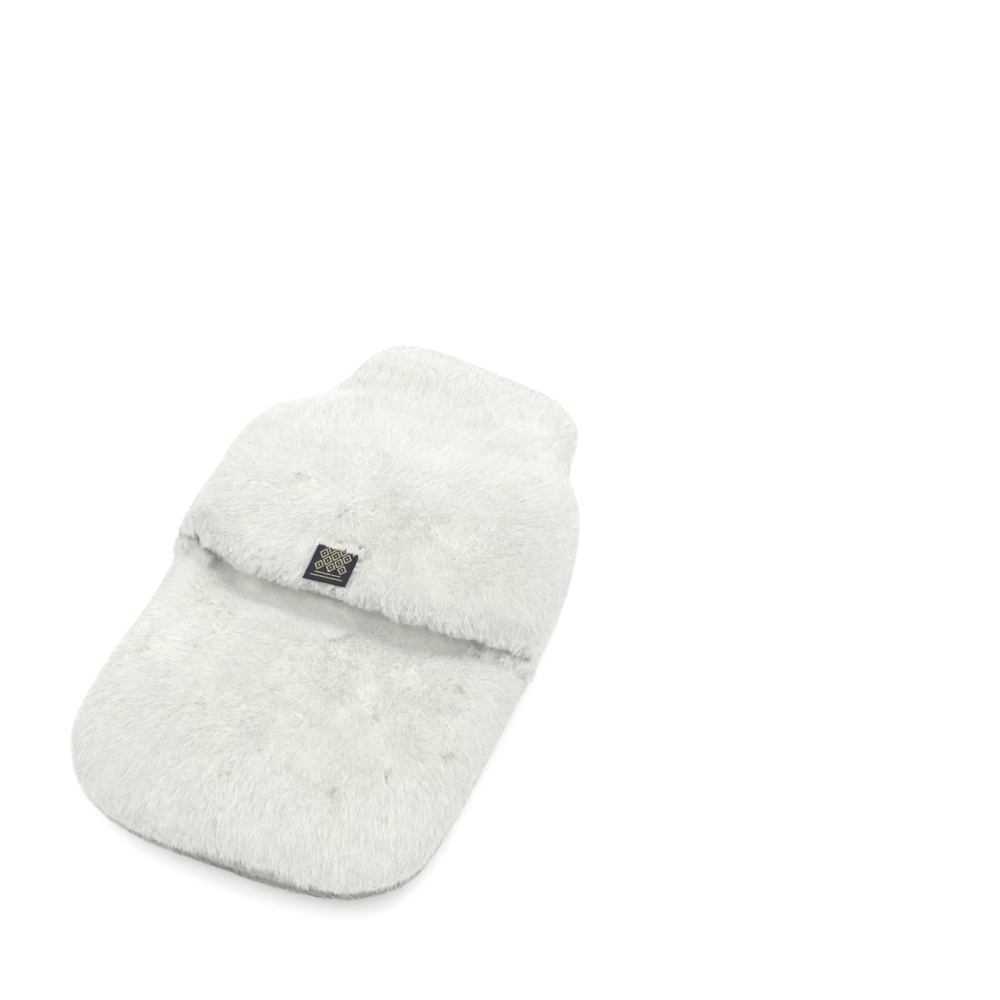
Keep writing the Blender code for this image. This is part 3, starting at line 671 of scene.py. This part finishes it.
def on_label(across, up, hang=1.0):
    """The place in plan of a place on the label, whose lower edge hangs down a little askew."""
    lower = LABEL_HANG - LABEL_SKEW * across / LABEL_WIDTH
    up = up - hang * lower * (1 - up / LABEL_LENGTH)
    c, s = math.cos(LABEL_TILT), math.sin(LABEL_TILT)
    return np.stack([LABEL_FOOT[0] + across * c - up * s, LABEL_FOOT[1] + across * s + up * c], axis=-1)


def label_place(points):
    """Each point's place across and up the label, from the middle of its lower edge."""
    away = points[:, :2] - LABEL_FOOT
    c, s = math.cos(LABEL_TILT), math.sin(LABEL_TILT)
    return away[:, 0] * c + away[:, 1] * s, away[:, 1] * c - away[:, 0] * s


def label_lines():
    """The places of the label's columns and rows, closer at its edges, and its thickness share at each."""
    edge, share = np.array(LABEL_EDGES).T
    lines = []
    for length in (LABEL_WIDTH, LABEL_LENGTH):
        middle = np.linspace(edge[-1], length - edge[-1], LABEL_STEPS)[1:-1]
        lines.append((np.concatenate([edge, middle, length - edge[::-1]]),
                      np.concatenate([share, np.ones(len(middle)), share[::-1]])))
    (columns, wide), (rows, tall) = lines
    return columns - LABEL_WIDTH / 2, rows, np.minimum(wide[None, :], tall[:, None])


def label_heights(columns, rows):
    """How high the label's face lies at each row and column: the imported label's top, smoothed."""
    tree = tree_of(*read_node("woven_label"))
    inside_x = np.clip(columns, -LABEL_WIDTH / 2 + LABEL_INSET, LABEL_WIDTH / 2 - LABEL_INSET)
    inside_y = np.clip(rows, LABEL_INSET, LABEL_LENGTH - LABEL_INSET)
    heights = np.empty((len(rows), len(columns)))
    for j, up in enumerate(inside_y):
        for i, across in enumerate(inside_x):
            start = Vector((*on_label(across, up, 0.0), LABEL_ABOVE))
            heights[j, i] = tree.ray_cast(start, Vector((0, 0, -1)))[0].z
    for _ in range(LABEL_SMOOTH):
        padded = np.pad(heights, 1, mode="reflect", reflect_type="odd")
        heights = (padded[:-2, 1:-1] + padded[2:, 1:-1] + padded[1:-1, :-2] + padded[1:-1, 2:]) / 4
    (kick, kick_reach), (curl, curl_reach), (sink, sink_reach) = LABEL_KICK, LABEL_CURL, LABEL_SINK
    corner = (np.abs(columns) / LABEL_WIDTH * 2)[None, :] ** LABEL_CORNER
    corner = corner * (1 - smooth_step(rows, 0, curl_reach))[:, None]
    lower_end = (1 - smooth_step(rows, 0, kick_reach))[:, None]
    upper_end = smooth_step(rows, LABEL_LENGTH - sink_reach, LABEL_LENGTH)[:, None]
    return heights + LABEL_LIFT + kick * lower_end + curl * corner - sink * upper_end


def add_label(material):
    """The ribbon: a closed sheet with rounded edges. Also gives its columns, rows and face's heights."""
    columns, rows, share = label_lines()
    heights = label_heights(columns, rows)
    across, up = np.meshgrid(columns, rows)
    plan = on_label(across, up)
    half = LABEL_THICK / 2 * share
    faces_up = np.dstack([plan, heights - LABEL_THICK / 2 + half])
    faces_down = np.dstack([plan, heights - LABEL_THICK / 2 - half])
    points = np.concatenate([faces_up.reshape(-1, 3), faces_down.reshape(-1, 3)])
    wide, tall = len(columns), len(rows)
    index = np.arange(tall * wide).reshape(tall, wide)
    under = index + tall * wide
    quads = [(index[:-1, :-1], index[:-1, 1:], index[1:, 1:], index[1:, :-1]),
             (under[:-1, :-1], under[1:, :-1], under[1:, 1:], under[:-1, 1:])]
    rim = np.concatenate([index[0, :-1], index[:-1, -1], index[-1, :0:-1], index[:0:-1, 0]])
    after = np.roll(rim, -1)
    quads.append((rim, rim + tall * wide, after + tall * wide, after))
    faces = np.concatenate([np.stack([part.reshape(-1) for part in quad], axis=1) for quad in quads])
    label = plain_mesh("label_ribbon", points, faces, material)
    layer = label.data.uv_layers.new(name="weave")
    corners = np.empty(len(label.data.loops), np.int32)
    label.data.loops.foreach_get("vertex_index", corners)
    place = np.stack([across / LABEL_WIDTH + 0.5, up / LABEL_LENGTH], axis=-1).reshape(-1, 2)
    layer.uv.foreach_set("vector", place[corners % len(place)].astype(np.float32).reshape(-1))
    return label, (columns, rows, heights)


def motif():
    """The stitches of the label's motif: place of each one's middle across and up it, and its length."""
    stitches = []
    for height, middles in RING_ROWS:
        steps = int(RING_TALL / STITCH_PITCH)
        for middle in middles:
            for step in range(-steps, steps + 1):
                up = step * STITCH_PITCH
                outer = RING_WIDE * (1 - abs(up) / (RING_TALL + STITCH_PITCH))
                if outer < RING_STROKE:
                    stitches.append((middle, height + up, 2 * outer))
                else:
                    side = outer - RING_STROKE / 2
                    stitches += [(middle - side, height + up, RING_STROKE),
                                 (middle + side, height + up, RING_STROKE)]
            stitches += [(middle, height + step * STITCH_PITCH, RING_DOT) for step in (-0.5, 0.5)]
    for height, half in PLAIN_LINES:
        count = int(2 * half / LINE_STITCH)
        stitches += [(half * ((2 * i + 1) / count - 1), height, 2 * half / count + LINE_OVERLAP)
                     for i in range(count)]
    return np.array(stitches)


def add_stitches(face, material):
    """Raised bars on the label's face, pointed at both ends and rounded over the top."""
    columns, rows, heights = face
    stitches = motif()
    along, broad, side, lift = map(np.array, (STITCH_ALONG, STITCH_BROAD, STITCH_SIDE, STITCH_RISE))
    across = stitches[:, 0, None, None] + (stitches[:, 2, None] * along)[:, :, None] + 0 * side
    up = stitches[:, 1, None, None] + STITCH_WIDTH * broad[None, :, None] * side[None, None, :]
    rise = STITCH_HEIGHT * broad[None, :, None] * lift
    i = np.clip(np.searchsorted(columns, across) - 1, 0, len(columns) - 2)
    j = np.clip(np.searchsorted(rows, up) - 1, 0, len(rows) - 2)
    s = (across - columns[i]) / (columns[i + 1] - columns[i])
    t = (up - rows[j]) / (rows[j + 1] - rows[j])
    base = (heights[j, i] * (1 - s) * (1 - t) + heights[j, i + 1] * s * (1 - t)
            + heights[j + 1, i] * (1 - s) * t + heights[j + 1, i + 1] * s * t)
    points = np.concatenate([on_label(across, up), (base + rise)[..., None]], axis=-1)
    ring, steps = len(side), len(along)
    each = ring * steps
    bar = [(ring * r + c, ring * (r + 1) + c, ring * (r + 1) + (c + 1) % ring, ring * r + (c + 1) % ring)
           for r in range(steps - 1) for c in range(ring)]
    ends = (range(ring), range(each - 1, each - 1 - ring, -1))
    faces = [[k + each * n for k in quad] for n in range(len(stitches)) for quad in bar]
    faces += [[k + each * n for k in end] for n in range(len(stitches)) for end in ends]
    return plain_mesh("label_stitches", points.reshape(-1, 3), faces, material)


# ---- places

def under_flap(points):
    """How far up the cover each point is beyond the flap's lower edge."""
    return points[:, 1] - np.interp(points[:, 0], LIP_ACROSS, LIP_UP)


def within(beyond=FAR, before=-FAR, above=-FAR, below=FAR, out=-FAR, inside=FAR, up=FAR):
    """A test of points: beyond and before the flap's lower edge, their height, how far they are out to a
    side, and how far up the cover."""
    def test(points):
        edge, side, height = under_flap(points), np.abs(points[:, 0]), points[:, 2]
        return ((edge < beyond) & (edge > before) & (height > above) & (height < below)
                & (side > out) & (side < inside) & (points[:, 1] < up))
    return test


def laid_down(points):
    """How far the pile is pressed down by the label's lower end."""
    across, up = label_place(points)
    near, far = PRESS_BESIDE
    beside = 1 - smooth_step(np.abs(across), LABEL_WIDTH / 2 + near, LABEL_WIDTH / 2 + far)
    return LABEL_PRESS * beside * (1 - smooth_step(-up, *PRESS_BELOW)) * (up < 0)


def off_label(points):
    across, up = label_place(points)
    low = -CLEAR_BELOW - LABEL_HANG + LABEL_SKEW * across / LABEL_WIDTH
    inside = np.abs(across) < LABEL_WIDTH / 2 + CLEAR_BESIDE
    return ~(inside & (up > low) & (up < LABEL_LENGTH - COVERED))


def near_label(middles):
    """On the faces round the label's upper edge and its right edge."""
    return np.hypot(*(middles[:, :2] - on_label(0, LABEL_LENGTH)).T) < LABEL_NEAR


def by_label(points):
    """On the fur round the label's upper edge, and beside its right edge."""
    across, up = label_place(points)
    above = (np.abs(across) < LABEL_WIDTH / 2 + FRINGE_BESIDE) & (np.abs(up - LABEL_LENGTH) < FRINGE_ABOUT)
    right = (across > LABEL_WIDTH / 2) & (across < LABEL_WIDTH / 2 + FRINGE_RIGHT)
    return above | (right & (up > FRINGE_FROM) & (up < LABEL_LENGTH))


def over_label(points):
    """The way of the locks round the label: down over its upper edge, and in over its right edge."""
    across, up = label_place(points)
    right = (across > LABEL_WIDTH / 2) & (up < LABEL_LENGTH - COVERED)
    way = np.zeros_like(points)
    way[:, :2] = np.where(right[:, None], IN_OVER_RIGHT, DOWN_OVER_TOP)
    return way


def down_and_in(points):
    """The way of the locks at the lip's ends."""
    inward, down = DOWN_AND_IN
    way = np.zeros_like(points)
    way[:, 0], way[:, 1] = -inward * np.sign(points[:, 0]), -down
    return way


def upward(points):
    """The way of the locks on the lower panel, at the ends of the gap under the lip."""
    return np.zeros_like(points) + UP_AND_LEFT


def more_in_crease(middles):
    return 1 + CREASE_MORE * by_crease(middles)


def more_at_rim(middles):
    return 1 + RIM_FUZZ * (middles[:, 2] < RIM_TOP)


def more_at_lower_rim(middles):
    return more_at_rim(middles) * (under_flap(middles) < LOWER_RIM_END)


def near_lip(points):
    inside = np.abs(points[:, 0]) < rng.uniform(*LIP_TUFTS_END, len(points))
    return inside & (under_flap(points) < rng.uniform(*LIP_TUFTS, len(points)))


def band_height(points):
    """How far above the seam the front's pile is grey, painted shade where it is also pressed, at the lower
    rim left of the middle.
    """
    middle, spread, height, end = PRESSED_SHADE_BAND
    ragged = sum(strength * noise(points, length, shift) for strength, length, shift in BAND_WAVES)
    high = height * np.exp(-((points[:, 0] - middle) / spread) ** 2) + ragged
    return np.where(points[:, 1] < end, high, -SEAM)


def in_band(points):
    return points[:, 2] < SEAM + band_height(points)


def above_band(points):
    top = SEAM + band_height(points) + rng.uniform(*RIM_TUFTS, len(points))
    return ~in_band(points) & (points[:, 2] < top)


def over_seam(points):
    return (points[:, 2] < SEAM + rng.uniform(*SEAM_TUFTS, len(points))) & ~in_band(points)


def open_to(end):
    """A test of the lower panel's points: outside the grey band, and not too far in under the flap."""
    return lambda points: (under_flap(points) < end) & ~in_band(points)


def grey_back(points):
    """Picks points of the back's grey rim, which is painted shade, fewer where it fades."""
    share = smooth_step(-points[:, 1], *GREY_DOWN) * (1 - smooth_step(points[:, 0], *GREY_RIGHT))
    return rng.random(len(points)) < share * smooth_step(points[:, 2], *GREY_HIGH)


def off_grey_back(points):
    return ~grey_back(points)


# ---- scene

def add_aimed(name, data, place, way):
    """A camera or a lamp at a place in metres, looking this way."""
    obj = add_object(name, data)
    obj.location = place
    obj.rotation_mode = "QUATERNION"
    obj.rotation_quaternion = way.to_track_quat("-Z", "Y")
    return obj


def add_camera():
    back = Vector((math.sin(AZIMUTH) * math.cos(ELEVATION), -math.cos(AZIMUTH) * math.cos(ELEVATION),
                   math.sin(ELEVATION)))
    data = bpy.data.cameras.new("camera")
    data.sensor_width, data.lens = SENSOR, SENSOR * FOCAL_PIXELS / PHOTO_WIDTH
    data.clip_start, data.clip_end = NEAR_CLIP, FAR_CLIP
    place = (Vector(AIM) + back * DISTANCE) * MM
    bpy.context.scene.camera = add_aimed("camera", data, place, -back)


def add_studio():
    """A pale floor, wide soft lamps at the left, behind and at the right in front, and a pale surround."""
    material = material_with("studio_floor", Base_Color=(0.96, 0.96, 0.96, 1), Roughness=0.95,
                             Specular_IOR_Level=0.0)[0]
    corners = [(x * FLOOR_HALF, y * FLOOR_HALF, 0) for x, y in ((-1, -1), (1, -1), (1, 1), (-1, 1))]
    floor = plain_mesh("floor", corners, [(0, 1, 2, 3)], material)
    world = bpy.data.worlds.new("studio")
    world.use_nodes = True
    set_inputs(world.node_tree.nodes["Background"], Color=(1, 1, 1, 1), Strength=SURROUND)
    bpy.context.scene.world = world
    for name, place, power in LAMPS:
        data = bpy.data.lights.new(name, "AREA")
        data.shape, data.size, data.energy = "DISK", LAMP_SIZE, power
        add_aimed(name, data, place, Vector(LAMP_AIM) - Vector(place))
    scene = bpy.context.scene
    scene.view_settings.view_transform = "Standard"
    scene.cycles.max_bounces = scene.cycles.diffuse_bounces = scene.cycles.transmission_bounces = BOUNCES


def add_skin(panel, inner, outer):
    """A panel's skin: suede on the inside, and the underwool that the pile grows through outside."""
    skin = plain_mesh(f"{panel.node}_skin", panel.skin(), panel.triangles, inner)
    skin.data.materials.append(outer)
    skin.data.polygons.foreach_set("material_index", panel.is_outer.astype(np.int32))
    return skin


# ---- the cover

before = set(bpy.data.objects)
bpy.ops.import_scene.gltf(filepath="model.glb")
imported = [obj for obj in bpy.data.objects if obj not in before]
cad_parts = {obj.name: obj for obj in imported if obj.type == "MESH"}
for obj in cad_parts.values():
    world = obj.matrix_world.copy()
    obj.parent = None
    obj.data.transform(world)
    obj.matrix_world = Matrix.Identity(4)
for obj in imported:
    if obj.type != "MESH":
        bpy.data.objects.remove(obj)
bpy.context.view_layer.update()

flap = Panel("front_flap", "flap", FRONT_SPINE)
lower = Panel("lower_front_panel", "lower", FRONT_SPINE)
back = Panel("back_panel", "back", BACK_SPINE)
LIP_ACROSS, LIP_UP = lip_line(flap)

# Its roots are lighter than its tips, painted light against the shade deep in the pile, and warmer, painted
# light passing through the wool.
ivory = pile_material("wool_ivory", (0.98, 0.978, 0.95), (0.972, 0.975, 0.958), (0.96, 0.967, 0.96),
                      (0.978, 0.968, 0.94), (0.68, 0.66, 0.56), lit_through=0.5)
# Painted shade: dark grey pile for the rims that lie in shade, where the pile is also pressed; darker at
# the roots as painted shade deep in the pile.
pressed = pile_material("wool_pressed_painted_shade", (0.38, 0.37, 0.315), (0.49, 0.49, 0.445), (0.58, 0.58, 0.545),
                        (0.96, 0.945, 0.91), (0.9, 0.88, 0.82), lit_through=0.2)
# Darker at its roots than at its tips, as painted shade deep in the pile.
back_wool = pile_material("wool_back", (0.70, 0.69, 0.63), (0.80, 0.80, 0.755), (0.86, 0.86, 0.825),
                          (0.97, 0.955, 0.92), (0.88, 0.86, 0.80), lit_through=0.2)
suede = skin_material("sheepskin_suede", (0.84, 0.82, 0.75), (0.90, 0.88, 0.82), nap_scale=900.0,
                      nap_height=0.0004)
# The underwool's colour is darkened as painted shade, for the shade deep in the pile.
underwool = skin_material("sheepskin_underwool_painted_shade", (0.83, 0.82, 0.775), (0.87, 0.86, 0.82))
matted = skin_material("sheepskin_matted_wool", (0.64, 0.63, 0.58), (0.76, 0.76, 0.71))

LONG, FINE = Style(), Style(bent=False)
BAND, FLAT = Style(width=0.45, bent=False), Style(lean=5, width=0.5, bent=False, floor=0.1)
BACK_LONG = Style(lean=4, floor=0.1)
FUZZ = Style(width=0.2, low=0.0, high=2.4, lock=3, gather=0.2, lean=3, swing=0.4, bent=False)
LIP_TUFT = Style(lean=4.5, low=0.3, high=0.9, lock=5.5, gather=0.75, reach=2.8, drop=2.8, level=0.8)
RIM_TUFT = Style(lean=5, low=0.3, high=1.2, lock=5, gather=0.6, reach=3.2, drop=1.2, floor=0.5)
SEAM_TUFT = Style(lean=4, width=0.28, low=0.2, high=1.2, lock=5.5, gather=0.75, swing=0.3, reach=2.6,
                  drop=3.2, floor=0.5, bent=False)
LIP_LOCK = Lock(each=26, radius=2.2, length=(3.5, 6.0), rise=0.12, arch=0.5, droop=1.2)
CORNER_LOCK = Lock(droop=3.0, close=0.25, swing=0.5, width=0.24)
GAP_LOCK = Lock(rise=0.6, arch=0.8, close=0.2, swing=0.5, width=0.24)
# Their low tone is painted shade, so the raised locks at the label are no brighter than the shaded pile
# round them.
LABEL_LOCK = Lock(each=34, radius=1.5, length=(5.5, 11.0), rise=0.1, arch=0.9, close=0.6, width=0.22,
                  tone=0.27)

skins = [add_skin(back, suede, matted), add_skin(lower, suede, underwool), add_skin(flap, suede, underwool)]
# On a part of a panel, faces are picked first, with a margin, and then the places on them.
piles = {pile.name: pile for pile in (
    grow("flap_pile", flap, 50000, LONG, ivory, more_in_crease, everywhere, off_label),
    grow("flap_fine_pile", flap, 178000, FINE, ivory, more_in_crease, everywhere, off_label),
    grow("lower_pile", lower, 36000, LONG, ivory, within(beyond=22), open_to(LOWER_PILE_END)),
    grow("lower_fine_pile", lower, 150000, FINE, ivory, within(beyond=22), open_to(LOWER_PILE_END)),
    grow("rim_pressed_shaded_pile", lower, 60000, BAND, pressed, within(below=50, up=0), in_band),
    grow("back_pile", back, 25000, BACK_LONG, back_wool, within(above=2), off_grey_back),
    grow("back_fine_pile", back, 72000, FLAT, back_wool, everywhere, off_grey_back),
    grow("back_pressed_shaded_pile", back, 30000, FLAT, pressed, within(above=1, up=10 - GREY_DOWN[0]), grey_back),
    grow("lip_tufts", flap, 20000, LIP_TUFT, ivory, within(beyond=20, above=40), near_lip, off_label),
    grow("flap_fuzz", flap, 46000, FUZZ, ivory, more_at_rim, everywhere, off_label),
    grow("lower_fuzz", lower, 44000, FUZZ, ivory, more_at_lower_rim, open_to(LOWER_FUZZ_END)),
    grow("rim_tufts", lower, 16000, RIM_TUFT, ivory, within(below=52), above_band),
    grow("flap_seam_tufts", flap, 18000, SEAM_TUFT, ivory, within(below=RIM_TOP), over_seam),
    grow("lower_seam_tufts", lower, 22000, SEAM_TUFT, ivory,
         within(beyond=LOWER_RIM_END, below=RIM_TOP), over_seam),
    add_locks("lip_locks", flap, 900, LIP_LOCK, ivory, within(beyond=9, above=36),
              within(beyond=7, inside=118)),
    add_locks("corner_locks", flap, 420, CORNER_LOCK, ivory, within(beyond=18, out=80),
              within(beyond=14, out=92), down_and_in),
    add_locks("corner_gap_locks", lower, 700, GAP_LOCK, ivory, within(beyond=16, before=-16, out=80),
              within(beyond=3, before=-11, out=90), upward),
    add_locks("label_locks", flap, 2600, LABEL_LOCK, ivory, near_label, by_label, over_label),
)}
ribbon, ribbon_face = add_label(ribbon_material())
stitches = add_stitches(ribbon_face, thread_material())
add_camera()
add_studio()

for piece in skins + list(piles.values()) + [ribbon, stitches]:
    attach(piece, BODY)
for cut, piece in zip(CUTS, skins + [ribbon]):
    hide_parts(cut["node"])
